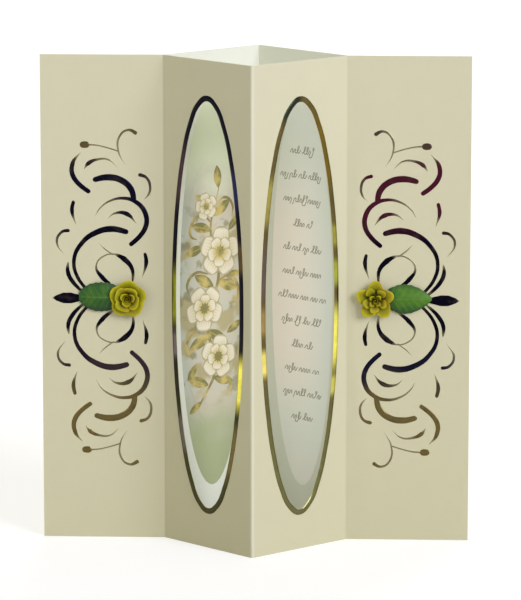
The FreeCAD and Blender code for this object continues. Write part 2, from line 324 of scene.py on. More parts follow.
class Paint(Graph):
    """Node tree of one finish, round its Principled shader."""

    print_grain_scale = 1500.0
    print_grain_depth = 0.05

    def __init__(self, name: str, **constants: float | tuple) -> None:
        """Make the material.

        Args:
            name: the material's name.
            **constants: fixed shader inputs, with underscores for spaces.
        """
        self.material = bpy.data.materials.new(name)
        super().__init__(self.material)
        names = [key.replace("_", " ").title().replace("Ior", "IOR") for key in constants]
        self.shader = self.node("ShaderNodeBsdfPrincipled", None, dict(zip(names, constants.values())))
        self.node("ShaderNodeOutputMaterial", None, {0: Wire(self, self.shader.outputs[0])})

    @classmethod
    def ink(cls, name: str) -> "Paint":
        """Start a finish of print on card."""
        return cls(name, roughness=0.6, specular_ior_level=0.3)

    def feed(self, name: str, value: Wire) -> None:
        """Link a wire to one of the shader's inputs."""
        self.tree.links.new(value.socket, self.shader.inputs[name])

    def spot(self) -> Wire:
        """Object coordinates as a vector."""
        return self.wire("ShaderNodeTexCoord", output="Object")

    def along(self, direction: Vector) -> Wire:
        """Distance of the shaded point along a direction, from the origin."""
        sockets = {0: self.spot(), 1: tuple(direction)}
        return self.wire("ShaderNodeVectorMath", {"operation": "DOT_PRODUCT"}, sockets, "Value")

    def across(self, panel: Panel) -> Wire:
        """Distance of the shaded point along a panel, from the panel's middle."""
        return self.along(panel.along) - (panel.start.dot(panel.along) + CARD.panel_width / 2)

    def attribute(self, name: str) -> Wire:
        """A number stored on the mesh."""
        return self.wire("ShaderNodeAttribute", {"attribute_name": name}, output="Fac")

    def noise(self, scale: float, detail: float = 2.0, roughness: float = 0.5) -> Wire:
        """Noise from 0 to 1 over object coordinates, with scale in patches per metre."""
        sockets = {"Vector": self.spot(), "Scale": scale, "Detail": detail, "Roughness": roughness}
        return self.wire("ShaderNodeTexNoise", None, sockets)

    def mix(self, factor: Wire | float, first: Wire | tuple, second: Wire | tuple) -> Wire:
        """Colour between two colours."""
        settings = {"data_type": "RGBA", "clamp_factor": True}
        return self.wire("ShaderNodeMix", settings, {0: factor, 6: first, 7: second}, 2)

    def tone(self, colour: Wire, factor: Wire) -> Wire:
        """Colour made lighter or darker by a number."""
        return self.wire("ShaderNodeVectorMath", {"operation": "SCALE"}, {0: colour, 3: factor})

    def grained(self, colour: Wire) -> Wire:
        """Colour with the faint grain of print on card."""
        grain = self.noise(self.print_grain_scale) * self.print_grain_depth
        return self.tone(colour, grain + (1 - self.print_grain_depth / 2))

    def bump(self, height: Wire, distance: float, strength: float = 1.0) -> None:
        """Surface relief from a height between 0 and 1, with distance in metres."""
        sockets = {"Height": height, "Distance": distance, "Strength": strength}
        self.feed("Normal", self.wire("ShaderNodeBump", None, sockets))


def dress(piece: bpy.types.Object, material: bpy.types.Material) -> None:
    """Give a piece one material all over.

    Args:
        piece: the piece.
        material: its finish.
    """
    if not piece.material_slots:
        piece.data.materials.append(material)
    for slot in piece.material_slots:
        slot.link = "OBJECT"
        slot.material = material


@dataclass(frozen=True)
class CardStock:
    """Matt fibrous card, with a paler core at its cut edges, wear and a painted highlight along its ridge
    crease, painted shade at its valley folds and painted shade that darkens it towards its foot.
    """

    name: str
    shaded_foot_colour: Colour
    head_colour: Colour
    ridge_y: float
    core_colour: Colour = linear(228, 226, 208)
    mottle_scale: float = 90.0
    fibre_scale: float = 900.0
    grain_scale: float = 2600.0
    crease_width: float = 0.9 * MM
    crease_wear_and_highlight: float = 0.5
    fold_shade: float = 0.05
    cut_width: float = 0.03 * MM
    cut_share: float = 0.7

    def material(self) -> bpy.types.Material:
        """Build the finish.

        Returns:
            The material.
        """
        paint = Paint(self.name, roughness=0.78, specular_ior_level=0.28)
        height = paint.along(UP)
        mottle = paint.noise(self.mottle_scale, 3.0)
        fibre = paint.noise(self.fibre_scale, 4.0, 0.65)
        grain = paint.noise(self.grain_scale, 2.0)
        # Painted shade: the card turns darker from its head down to its foot.
        colour = paint.mix(height / CARD.height, self.shaded_foot_colour, self.head_colour)
        shade = 0.965 + mottle * 0.04 + fibre * 0.03
        # Along the ridge the paler core shows as wear and as a painted highlight.
        crease_wear_and_highlight_mask = paint.along(AWAY).band(self.ridge_y, self.crease_width) * self.crease_wear_and_highlight
        # Painted shade in a band along each valley fold.
        fold = paint.along(ACROSS).size().band(CARD.half_span, self.crease_width) * self.fold_shade
        worn_and_painted_light = paint.mix(crease_wear_and_highlight_mask, paint.tone(colour, shade - fold), self.core_colour)
        cut = height.rise(self.cut_width, 0) + height.rise(CARD.height - self.cut_width, CARD.height)
        paint.feed("Base Color", paint.mix(cut * self.cut_share, worn_and_painted_light, self.core_colour))
        paint.bump(fibre * 0.7 + grain * 0.3, 0.05 * MM, 0.5)
        return paint.material


@dataclass(frozen=True)
class ScrollFoil:
    """Mirror foil of the scrolls, with painted reflections: navy black above and olive brown towards the
    foot of the card.

    Each pair of levels gives the shares of the card's height between which a painted reflected colour takes
    over, for the lower colour, olive, the upper colour and the crest. Hair widths are in millimetres.
    """

    name: str
    reflected_upper: Colour
    reflected_crest: Colour
    reflected_lower: Colour
    reflected_night: Colour = linear(12, 10, 22)
    smoke: Colour = linear(62, 54, 50)
    reflected_olive: Colour = linear(100, 87, 52)
    hair: Colour = linear(140, 132, 104)
    levels: tuple[Span, ...] = ((0.42, 0.38), (0.35, 0.28), (0.6, 0.69), (0.75, 0.81))
    sway: float = 0.1
    hair_widths: Span = (1.4, 0.6)
    hair_share: float = 0.8
    smoke_share: float = 0.35

    def material(self) -> bpy.types.Material:
        """Build the finish.

        Returns:
            The material.
        """
        paint = Paint(self.name, metallic=1.0, roughness=0.2)
        # The base colour is a painted reflection of dark and bright surroundings, changing with height.
        flow = paint.along(UP) / CARD.height + (paint.noise(60.0, 1.0) * self.sway - self.sway / 2)
        colour = self.reflected_night
        for shade, ends in zip((self.reflected_lower, self.reflected_olive, self.reflected_upper, self.reflected_crest), self.levels):
            colour = paint.mix(flow.rise(*ends), colour, shade)
        fine = paint.attribute("breadth").rise(*self.hair_widths)
        colour = paint.mix(fine * self.hair_share, colour, self.hair)
        streak = paint.noise(240.0, 1.0).rise(0.5, 0.72)
        paint.feed("Base Color", paint.mix(streak * self.smoke_share, colour, self.smoke))
        paint.bump(paint.noise(700.0, 1.0), 0.02 * MM, 0.25)
        return paint.material


@dataclass(frozen=True)
class PaintedGlint:
    """Painted reflection of another colour on a stretch of one half of a window's ring.

    The half is -1 for the ring's left and 1 for its right, and heights are in millimetres.
    """

    half: int
    middle: float
    reach: float
    colour: Colour


@dataclass(frozen=True)
class RimFoil:
    """Mirror foil of a window's ring, with a painted reflection that runs from head to foot and painted
    glints along its two halves.
    """

    name: str
    panel: Panel
    head: Colour
    foot: Colour
    glints: tuple[PaintedGlint, ...]
    head_rise: Span = (20 * MM, 110 * MM)
    half_blend: float = 1.5 * MM
    fill: float = 1.7

    def material(self) -> bpy.types.Material:
        """Build the finish.

        Returns:
            The material.
        """
        paint = Paint(self.name, metallic=1.0, roughness=0.2)
        height = paint.along(UP)
        across = paint.across(self.panel)
        # Painted reflection: the foil runs from its head colour down to its foot colour.
        colour = paint.mix(height.rise(*self.head_rise), self.foot, self.head)
        # Painted glints on either half of the ring.
        for glint in self.glints:
            beside = across.rise(-glint.half * self.half_blend, glint.half * self.half_blend)
            near = height.band(glint.middle * MM, glint.reach * MM) * self.fill
            colour = paint.mix(near.least(1.0) * beside, colour, glint.colour)
        streak = paint.noise(260.0, 1.0) * 0.5 + 0.75
        paint.feed("Base Color", paint.tone(colour, streak))
        return paint.material


class Strokes:
    """Pen or foil strokes with a low rounded section, laid on a panel."""

    section_steps = 5
    shortest_run = 1e-6

    def __init__(self, name: str, place: Matrix, crown: float, path_steps: int = 10) -> None:
        """Start a piece.

        Args:
            name: name of the finished piece.
            place: frame of the piece's zero on its panel.
            crown: height of a stroke as a share of its width.
            path_steps: faces along a stroke between two of its points.
        """
        self.name = name
        self.frame = place
        self.crown = crown
        self.path_steps = path_steps
        self.parts: list[bpy.types.Object] = []
        self.lines: list[list[StrokePoint]] = []
        self.section = self.make_section()

    def make_section(self) -> bpy.types.Object:
        """Low dome of width 1 on a flat base, as a closed curve for the strokes to follow.

        Returns:
            The curve.
        """
        bpy.ops.object.select_all(action="DESELECT")
        bpy.ops.curve.primitive_bezier_circle_add(radius=0.5)
        section = bpy.context.object
        section.data.resolution_u = self.section_steps
        knots = section.data.splines[0].bezier_points
        for knot in knots:
            knot.handle_left_type = knot.handle_right_type = "FREE"
            for part in (knot.co, knot.handle_left, knot.handle_right):
                part.y = max(part.y, 0) * 2 * self.crown
        return section

    def add_path(self, points: list[StrokePoint], closed: bool = False) -> None:
        """Add one stroke.

        Args:
            points: along, up and width of each point, in metres.
            closed: whether the stroke is a ring.
        """
        bpy.ops.object.select_all(action="DESELECT")
        bpy.ops.curve.primitive_bezier_curve_add()
        path = bpy.context.object
        data = path.data
        data.dimensions = "2D"
        data.fill_mode = "NONE"
        data.resolution_u = self.path_steps
        spline = data.splines[0]
        spline.bezier_points.add(len(points) - len(spline.bezier_points))
        spline.use_cyclic_u = closed
        for knot, (along, up, width) in zip(spline.bezier_points, points):
            knot.handle_left_type = knot.handle_right_type = "AUTO"
            knot.co = (along, up, 0)
            knot.radius = width
        data.bevel_mode = "OBJECT"
        data.bevel_object = self.section
        data.use_fill_caps = not closed
        self.parts.append(path)
        self.lines.append(points)

    def measure(self, part: bpy.types.Object, line: list[StrokePoint]) -> None:
        """Keep the stroke's width near each vertex, in millimetres, as "breadth".

        Args:
            part: the stroke's mesh.
            line: the stroke's points.
        """
        breadth = part.data.attributes.new("breadth", "FLOAT", "POINT")
        for vertex in part.data.vertices:
            spot = vertex.co.to_2d()
            nearest = math.inf
            for (x1, y1, width1), (x2, y2, width2) in zip(line, line[1:]):
                start = Vector((x1, y1))
                run = Vector((x2, y2)) - start
                share = (spot - start).dot(run) / max(run.length_squared, self.shortest_run ** 2)
                share = min(max(share, 0), 1)
                distance = (spot - start - run * share).length
                if distance < nearest:
                    nearest = distance
                    breadth.data[vertex.index].value = (width1 + (width2 - width1) * share) / MM

    def finish(self, material: bpy.types.Material, nodes: list[str]) -> bpy.types.Object:
        """Join the strokes into one piece in its place.

        Args:
            material: the piece's finish.
            nodes: solids that the piece stands for.

        Returns:
            The finished piece.
        """
        select(self.parts)
        bpy.ops.object.convert(target="MESH")
        for part, line in zip(self.parts, self.lines):
            self.measure(part, line)
        piece = joined(self.parts)
        bpy.data.objects.remove(self.section)
        return settle(piece, self.name, self.frame, material, nodes, FOIL_EDGE_ANGLE)


def select(pieces: list[bpy.types.Object]) -> None:
    """Select these pieces alone and make the first one active.

    Args:
        pieces: the pieces, with the one to make active first.
    """
    bpy.ops.object.select_all(action="DESELECT")
    for piece in pieces:
        piece.select_set(True)
    bpy.context.view_layer.objects.active = pieces[0]


def joined(parts: list[bpy.types.Object]) -> bpy.types.Object:
    """All parts as one object.

    Args:
        parts: pieces to join, with the one that takes in the others first.

    Returns:
        The joined piece.
    """
    select(parts)
    bpy.ops.object.join()
    return bpy.context.object


def settle(
    piece: bpy.types.Object,
    name: str,
    place: Matrix,
    material: bpy.types.Material,
    nodes: list[str],
    sharp_angle: float = PAPER_EDGE_ANGLE,
) -> bpy.types.Object:
    """Clean a modelled piece, move its mesh to its place and hang it on the card.

    Args:
        piece: the modelled object, in its own frame.
        name: the finished piece's name.
        place: matrix from the piece's frame to the card's.
        material: its finish.
        nodes: solids that it stands for.
        sharp_angle: edges sharper than this stay sharp.

    Returns:
        The finished piece.
    """
    select([piece])
    bpy.ops.object.transform_apply(location=True, rotation=True, scale=True)
    piece.data.transform(place)
    bpy.ops.object.mode_set(mode="EDIT")
    bpy.ops.mesh.select_all(action="SELECT")
    bpy.ops.mesh.remove_doubles(threshold=MERGE_DISTANCE)
    bpy.ops.mesh.normals_make_consistent(inside=False)
    bpy.ops.object.mode_set(mode="OBJECT")
    bpy.ops.object.shade_smooth_by_angle(angle=sharp_angle)
    piece.name = name
    piece.data.name = name
    piece.data.materials.clear()
    piece.data.materials.append(material)
    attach(piece, BODY)
    if nodes:
        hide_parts(*nodes)
    log.info("%s: %d faces", name, len(piece.data.polygons))
    return piece


def tangent(outer: Vector, middle: Vector, inner: Vector) -> Vector:
    """Direction in which a curve leaves its end point, from that point and the two before it.

    Args:
        outer: the end point.
        middle: the point before it.
        inner: the point before that.

    Returns:
        A direction of length 1.
    """
    first = (outer - middle) / (outer - middle).length
    second = (middle - inner) / (middle - inner).length
    share = (outer - middle).length / (outer - inner).length
    return (first + (first - second) * share).normalized()


@dataclass(frozen=True)
class ScrollWork:
    """Foil scroll of one wing, drawn in half and mirrored down.

    Each stroke is a list of points in millimetres: from the wing's outer edge, above the middle of
    the card, and stroke width, where zero ends the stroke in a point.
    """

    side: Side
    spear: tuple = (
        (4.3, 0, 0), (6.4, 0, 2.6), (9.2, 0, 4.6), (12.4, 0, 4.7),
        (15.2, 0, 3.3), (18.0, 0, 1.8), (21.4, 0, 1.2),
    )
    bead: tuple = (18.8, 66.4, 2.8)
    bead_profile: tuple = ((-0.25, 1.0), (0.0, 1.02), (0.25, 1.0))
    strokes: tuple = (
        ((40.4, 71.6, 1.7), (37.3, 72.8, 1.0), (33.7, 70.0, 0.9), (33.2, 63.6, 0.7), (36.4, 57.3, 0)),
        ((18.8, 66.4, 0.9), (24.3, 66.1, 0.6), (33.2, 63.6, 0.6)),
        ((17.2, 63.2, 0), (13.7, 58.5, 1.8), (13.8, 52.8, 2.1), (20.3, 46.3, 1.9)),
        ((18.3, 55.6, 0), (20.4, 58.4, 1.8), (24.4, 60.1, 1.0), (28.8, 60.0, 0.7), (33.1, 56.4, 0)),
        ((23.2, 51.4, 2.2), (28.5, 52.4, 2.8), (34.3, 51.2, 2.7), (38.4, 47.5, 2.6), (39.6, 43.0, 2.2)),
        ((42.3, 53.5, 1.6), (45.0, 52.4, 1.2), (46.6, 48.8, 1.1), (46.0, 45.2, 0.9), (43.6, 42.6, 0)),
        (
            (22.9, 35.2, 0), (25.2, 39.1, 0.6), (29.9, 42.4, 0.9), (35.7, 43.4, 1.4),
            (40.6, 41.8, 1.9), (44.3, 37.5, 2.1), (44.6, 31.0, 2.1), (38.4, 23.6, 1.9),
        ),
        ((28.2, 34.5, 0), (31.6, 36.9, 0.9), (36.7, 36.6, 2.0), (41.0, 32.2, 0)),
        ((13.8, 41.6, 1.5), (13.2, 37.9, 1.7), (14.9, 31.7, 0)),
        (
            (36.2, 28.9, 2.2), (29.9, 30.1, 2.7), (23.2, 28.4, 2.4), (17.3, 23.9, 1.9),
            (13.9, 16.7, 1.6), (15.5, 8.8, 1.5), (20.8, 2.4, 1.2),
        ),
        ((11.4, 15.4, 0.5), (11.2, 11.4, 1.8), (13.4, 6.9, 1.8), (18.2, 2.2, 0.9)),
        ((11.5, 29.3, 1.5), (8.7, 28.6, 1.2), (6.6, 24.4, 1.0), (10.0, 18.5, 0)),
        ((24.3, 24.4, 0), (27.2, 21.4, 0.5), (30.6, 19.0, 0.6)),
        ((33.1, 18.9, 0.6), (27.9, 18.9, 0.6), (23.4, 14.2, 0.7), (26.0, 9.0, 2.0), (30.6, 5.4, 0.8)),
        ((31.4, 19.2, 0.4), (35.4, 17.1, 2.4), (38.8, 12.6, 1.6), (38.8, 6.9, 0.4)),
        ((44.3, 19.4, 1.3), (44.8, 15.9, 1.8), (43.0, 8.8, 0)),
    )
    cap_degrees: tuple = (35, 65, 85)
    least_width: float = 0.6
    crown: float = 0.13

    def drawn(self, stroke: tuple) -> list[Vector]:
        """Points of a stroke, no thinner than the finest line except where it ends in a point."""
        return [Vector((x, y, max(width, self.least_width) if width else 0)) for x, y, width in stroke]

    def capped(self, points: list[Vector]) -> list[Vector]:
        """Stroke with a round end added after its last point, unless it ends in a point.

        Args:
            points: across, up and width of each point, in millimetres.

        Returns:
            The points, with those of the end after them.
        """
        outer, middle, inner = (Vector(point[:2]) for point in (points[-1], points[-2], points[-3]))
        half = points[-1][2] / 2
        if half <= 0:
            return points
        forward = tangent(outer, middle, inner)
        added = []
        for degrees in self.cap_degrees:
            angle = math.radians(degrees)
            spot = outer + forward * (half * math.sin(angle))
            added.append(Vector((spot.x, spot.y, 2 * half * math.cos(angle))))
        return points + added

    def turned(self, points: list[Vector], up: int) -> list[StrokePoint]:
        """Points in metres on this wing, mirrored where asked."""
        out = 1 if self.side is Side.LEFT else -1
        return [(out * x * MM, up * y * MM, width * MM) for x, y, width in points]

    def build(self, material: bpy.types.Material) -> bpy.types.Object:
        """Model the scroll and lay it on its wing.

        Args:
            material: the piece's finish.

        Returns:
            The finished piece.
        """
        across = 0 if self.side is Side.LEFT else CARD.panel_width
        place = cover_panel(self.side, wing=True).place(across, CARD.thickness / 2)
        foil = Strokes(f"scroll_foil_{self.side.value}", place, self.crown)
        spear = self.capped(self.drawn(self.spear))
        foil.add_path(self.turned(spear, 1))
        x, y, width = self.bead
        bead = [Vector((x + width * step, y, width * swell)) for step, swell in self.bead_profile]
        bead = self.capped(self.capped(bead)[::-1])
        for up in (1, -1):
            foil.add_path(self.turned(bead, up))
            for stroke in self.strokes:
                points = self.capped(self.drawn(stroke))
                points = self.capped(points[::-1])
                foil.add_path(self.turned(points, up))
        return foil.finish(material, [f"foil_scroll_{self.side.value}"])


@dataclass(frozen=True)
class WindowRim:
    """Raised foil ring round one oval window."""

    side: Side
    knots: int = 24
    crown: float = 0.13

    def build(self, material: bpy.types.Material) -> bpy.types.Object:
        """Model the ring and lay it on its centre panel.

        Args:
            material: the piece's finish.

        Returns:
            The finished piece.
        """
        place = cover_panel(self.side, wing=False).place(CARD.panel_width / 2, CARD.thickness / 2)
        foil = Strokes(f"rim_foil_{self.side.value}", place, self.crown)
        half_width = (CARD.window_width + CARD.rim_width) / 2
        half_height = (CARD.window_height + CARD.rim_width) / 2
        points = []
        for knot in range(self.knots):
            angle = 2 * math.pi * knot / self.knots
            points.append((half_width * math.cos(angle), half_height * math.sin(angle), CARD.rim_width))
        foil.add_path(points, closed=True)
        return foil.finish(material, [f"foil_rim_{self.side.value}"])


def patch(columns: int, rows: int, shape: Callable[[float, float], Vector]) -> bpy.types.Object:
    """Sheet of mesh laid out by a formula.

    Args:
        columns: faces across.
        rows: faces from root to tip.
        shape: gives the place of a point from its shares across and up, both from 0 to 1.

    Returns:
        The sheet, with its share up kept as "tip" and its distance from the middle as "side".
    """
    bpy.ops.object.select_all(action="DESELECT")
    bpy.ops.mesh.primitive_grid_add(x_subdivisions=columns, y_subdivisions=rows, size=1)
    sheet = bpy.context.object
    tip = sheet.data.attributes.new("tip", "FLOAT", "POINT")
    side = sheet.data.attributes.new("side", "FLOAT", "POINT")
    for vertex in sheet.data.vertices:
        across = vertex.co.x + 0.5
        up = vertex.co.y + 0.5
        tip.data[vertex.index].value = up
        side.data[vertex.index].value = abs(2 * across - 1)
        vertex.co = shape(across, up)
    return sheet


def thicken(piece: bpy.types.Object, thickness: float, levels: int = 1) -> None:
    """Give a sheet its thickness and round it, with both modifiers applied.

    Args:
        piece: the sheet.
        thickness: its thickness in metres.
        levels: rounds of subdivision, 0 for none.
    """
    bpy.context.view_layer.objects.active = piece
    bpy.ops.object.modifier_add(type="SOLIDIFY")
    wall = piece.modifiers[-1]
    wall.thickness = thickness
    wall.offset = 0
    bpy.ops.object.modifier_apply(modifier=wall.name)
    if levels:
        bpy.ops.object.modifier_add(type="SUBSURF")
        rounding = piece.modifiers[-1]
        rounding.levels = rounding.render_levels = levels
        bpy.ops.object.modifier_apply(modifier=rounding.name)


def copies(model: bpy.types.Object, places: list[Matrix]) -> list[bpy.types.Object]:
    """The model and copies of it with their own meshes, one at each place.

    Args:
        model: the piece that goes to the first place.
        places: a frame for each piece.

    Returns:
        The pieces, in the order of their places.
    """
    made = [model]
    for _ in places[1:]:
        twin = model.copy()
        twin.data = model.data.copy()
        bpy.context.collection.objects.link(twin)
        made.append(twin)
    for piece, place in zip(made, places):
        piece.data.transform(place)
    return made


def foil_spot(side: Side, from_edge: float, lift: float) -> Matrix:
    """Frame of a spot on a wing's foil, in millimetres from the wing's outer edge and above mid-height.

    Args:
        side: the wing.
        from_edge: distance from the wing's outer edge.
        lift: height above mid-height.

    Returns:
        A matrix whose X runs along the wing, Y up and Z outwards.
    """
    across = from_edge * MM if side is Side.LEFT else CARD.panel_width - from_edge * MM
    place = cover_panel(side, wing=True).place(across, CARD.thickness / 2 + CARD.foil_thickness)
    return Matrix.Translation(UP * (lift * MM)) @ place


@dataclass(frozen=True)
class PetalRing:
    """Petals of one size set round the rose's axis, in millimetres and degrees."""

    count: int
    root: float
    brim: float
    height: float
    spread: float
    turn: float
    sharpness: float = 2.2
    drop: float = 0.34
    roll: float = 0.5


@dataclass(frozen=True)
class Rose:
    """Paper rose: petals in rings round a rolled bud, on a small round base, in millimetres."""

    side: Side
    from_edge: float
    rings: tuple[PetalRing, ...]
    lift: float = 0.4
    bud_turns: float = 2.1
    bud_radius: float = 1.9
    bud_height: float = 6.0
    paper: float = 0.16
    base_radius: float = 3.7
    base_height: float = 0.7
    base_sides: int = 32
    grid: tuple[int, int] = (9, 8)
    bud_grid: tuple[int, int] = (36, 5)
    flare: float = 1.5
    ripple: float = 0.05
    lip_from: float = 0.72
    lip_fall: float = 0.12
    turn_jitter: float = 5.0
    lean_jitter: float = 3.0
    grow_jitter: Span = (-0.05, 0.02)
    seed: int = 11

    def petal(self, ring: PetalRing) -> bpy.types.Object:
        """One petal of a ring, over the X axis.

        Args:
            ring: the ring that it belongs to.

        Returns:
            The petal, with its thickness.
        """

        def shape(across: float, up: float) -> Vector:
            """Place of a point of the petal.

            Args:
                across: share of the sheet's width, from 0 to 1.
                up: share from its root, 0, to its tip, 1.

            Returns:
                The place, in metres.
            """
            sideways = 2 * across - 1
            edge = 1 - ring.drop * abs(sideways) ** ring.sharpness
            reach = up * edge
            angle = math.radians(ring.spread / 2 * sideways * (0.45 + 0.55 * reach))
            ripple = 1 + self.ripple * math.sin(5 * sideways + ring.turn) * up
            radius = (ring.root + (ring.brim - ring.root) * reach ** self.flare) * ripple
            lip = max(reach - self.lip_from, 0) / (1 - self.lip_from)
            height = math.sin(reach * math.pi / 2) ** 0.8 - self.lip_fall * ring.roll * lip ** 2
            return Vector((radius * math.cos(angle), radius * math.sin(angle), ring.height * height)) * MM

        sheet = patch(*self.grid, shape)
        thicken(sheet, self.paper * MM)
        return sheet

    def bud(self) -> bpy.types.Object:
        """Rolled middle of the rose.

        Returns:
            The rolled sheet, with its thickness.
        """

        def shape(across: float, up: float) -> Vector:
            """Place of a point of the rolled sheet.

            Args:
                across: share along the roll, from 0 to 1.
                up: share of its height, from 0 to 1.

            Returns:
                The place, in metres.
            """
            angle = math.radians(self.bud_turns * 360 * across)
            radius = 0.25 + (self.bud_radius - 0.25) * across * (0.7 + 0.3 * up)
            radius += 0.35 * max(up - 0.75, 0) / 0.25 * across
            height = self.bud_height * up * (1 - 0.1 * across + 0.03 * math.sin(3 * angle))
            return Vector((radius * math.cos(angle), radius * math.sin(angle), height)) * MM

        sheet = patch(*self.bud_grid, shape)
        thicken(sheet, self.paper * MM)
        return sheet

    def base(self) -> bpy.types.Object:
        """Round pad under the petals.

        Returns:
            The pad.
        """
        bpy.ops.object.select_all(action="DESELECT")
        bpy.ops.mesh.primitive_cylinder_add(
            vertices=self.base_sides,
            radius=self.base_radius * MM,
            depth=self.base_height * MM,
            location=(0, 0, self.base_height * MM / 2),
        )
        pad = bpy.context.object
        bpy.ops.object.transform_apply(location=True, rotation=True, scale=True)
        return pad

    def build(self, material: bpy.types.Material) -> bpy.types.Object:
        """Model the rose and stand it on its wing.

        Args:
            material: the piece's finish.

        Returns:
            The finished piece.
        """
        chance = random.Random(self.seed)
        parts = [self.base(), self.bud()]
        for ring in self.rings:
            places = []
            for index in range(ring.count):
                turn = ring.turn + 360 * index / ring.count
                turn += chance.uniform(-self.turn_jitter, self.turn_jitter)
                grow = 1 + chance.uniform(*self.grow_jitter)
                lean = chance.uniform(-self.lean_jitter, self.lean_jitter)
                turned = Matrix.Rotation(math.radians(turn), 4, UP)
                leant = Matrix.Rotation(math.radians(lean), 4, AWAY)
                places.append(turned @ leant @ Matrix.Scale(grow, 4))
            parts += copies(self.petal(ring), places)
        place = foil_spot(self.side, self.from_edge, self.lift)
        name = f"rose_petals_{self.side.value}"
        return settle(joined(parts), name, place, material, [f"rose_{self.side.value}"])


@dataclass(frozen=True)
class RosePaper:
    """Dyed paper, bright at the petals' lips, with painted shade that turns it deep green at their roots in
    the rose's heart.
    """

    lip: Colour = linear(184, 174, 4)
    body: Colour = linear(148, 142, 4)
    root: Colour = linear(74, 76, 12)
    brown: Colour = linear(150, 122, 20)

    def material(self) -> bpy.types.Material:
        """Build the finish.

        Returns:
            The material.
        """
        paint = Paint("rose paper", roughness=0.62, specular_ior_level=0.3)
        tip = paint.attribute("tip")
        patchy = paint.noise(420.0, 3.0)
        level = tip + (patchy - 0.5) * 0.3
        # Painted shade: petals darken towards their roots, deep in the rose.
        colour = paint.mix(level.rise(0.25, 0.8), self.root, self.body)
        colour = paint.mix(level.rise(0.8, 1.0), colour, self.lip)
        colour = paint.mix(paint.noise(160.0, 2.0).rise(0.52, 0.68) * 0.45, colour, self.brown)
        crepe = (paint.attribute("side") * 46 + patchy * 3).sine() * 0.5 + 0.5
        paint.feed("Base Color", paint.tone(colour, 0.94 + crepe * 0.08))
        paint.bump(crepe * 0.6 + paint.noise(2400.0, 2.0) * 0.4, 0.05 * MM, 0.6)
        return paint.material


@dataclass(frozen=True)
class Leaf:
    """Broad paper leaf from under a rose, arched over its rib, in millimetres.

    Its border stays a clearance above the foil's flat face, so that it clears the domed strokes.
    """

    side: Side
    rose_from_edge: float
    tip_from_edge: float
    fullness: float
    lift: float = 0.8
    clearance: float = 0.45
    root: float = 3.9
    half_width: float = 6.35
    arch: float = 1.9
    paper: float = 0.3
    tooth: float = 0.025
    vein_height: float = 0.16
    wave_height: float = 0.28
    grid: tuple[int, int] = (24, 40)

    def width_at(self, up: float) -> float:
        """Half width of the blade at a share of its length.

        Args:
            up: share of its length from its root.

        Returns:
            The half width in millimetres.
        """
        swell = math.sin(math.pi * min(up * 0.86 + 0.13, 1)) ** self.fullness
        tooth = 1 + self.tooth * math.cos(2 * math.pi * LEAF_VEINS * up)
        return self.half_width * swell * tooth

    def build(self, material: bpy.types.Material) -> bpy.types.Object:
        """Model the leaf and lay it on its wing.

        Args:
            material: the piece's finish.

        Returns:
            The finished piece.
        """
        length = self.rose_from_edge - self.tip_from_edge - self.root

        def shape(across: float, up: float) -> Vector:
            """Place of a point of the blade.

            Args:
                across: share of the sheet's width, from 0 to 1.
                up: share from its root, 0, to its tip, 1.

            Returns:
                The place, in metres.
            """
            sideways = 2 * across - 1
            half = self.width_at(up)
            rib = self.arch * math.sin(math.pi * (0.12 + 0.84 * up)) ** 0.8
            fall = 1 - abs(sideways) ** 1.3
            vein = self.vein_height * math.cos(2 * math.pi * (LEAF_VEINS * up - VEIN_SLANT * abs(sideways)))
            wave = self.wave_height * abs(sideways) ** 2 * (1 + math.sin(9 * up + 2 * sideways))
            height = self.clearance + rib * fall + vein * abs(sideways) * fall ** 0.5 + wave
            return Vector((self.root + length * up, half * sideways, height)) * MM

        blade = patch(*self.grid, shape)
        thicken(blade, self.paper * MM)
        heading = math.pi if self.side is Side.LEFT else 0
        place = foil_spot(self.side, self.rose_from_edge, self.lift) @ Matrix.Rotation(heading, 4, UP)
        name = f"leaf_blade_{self.side.value}"
        return settle(blade, name, place, material, [f"leaf_{self.side.value}"])


@dataclass(frozen=True)
class LeafPaper:
    """Green paper with paler veins, darker towards the border, with painted shade over its lower half and
    at its root under the rose.
    """

    name: str
    blade: Colour
    bright: Colour
    vein: Colour = linear(92, 128, 46)
    deep: Colour = linear(14, 46, 24)
    shaded_lower_half: float = 5 * MM

    def material(self) -> bpy.types.Material:
        """Build the finish.

        Returns:
            The material.
        """
        paint = Paint(self.name, roughness=0.55, specular_ior_level=0.35)
        tip = paint.attribute("tip")
        side = paint.attribute("side")
        patchy = paint.noise(300.0, 3.0)
        colour = paint.mix(patchy.rise(0.35, 0.7), self.blade, self.bright)
        colour = paint.mix((side + patchy * 0.3).rise(0.75, 1.15) * 0.5, colour, self.deep)
        height = paint.along(UP) - CARD.height / 2
        # Painted shade over the lower half of the leaf.
        colour = paint.mix(height.rise(0.0, -self.shaded_lower_half) * 0.6, colour, self.deep)
        # Painted shade at the root, under the rose.
        colour = paint.mix(tip.rise(0.3, 0.05) * 0.8, colour, self.deep)
        lines = ((tip * LEAF_VEINS - side * VEIN_SLANT) * (2 * math.pi)).sine() * 0.5 + 0.5
        thread = lines.rise(0.9, 1.0) * side.rise(0.95, 0.6)
        rib = side.rise(0.07, 0.0)
        colour = paint.mix(thread * 0.35 + rib * 0.5, colour, self.vein)
        paint.feed("Base Color", colour)
        paint.bump(lines * 0.5 + patchy * 0.3 + paint.noise(1800.0, 2.0) * 0.2, 0.1 * MM, 0.5)
        return paint.material


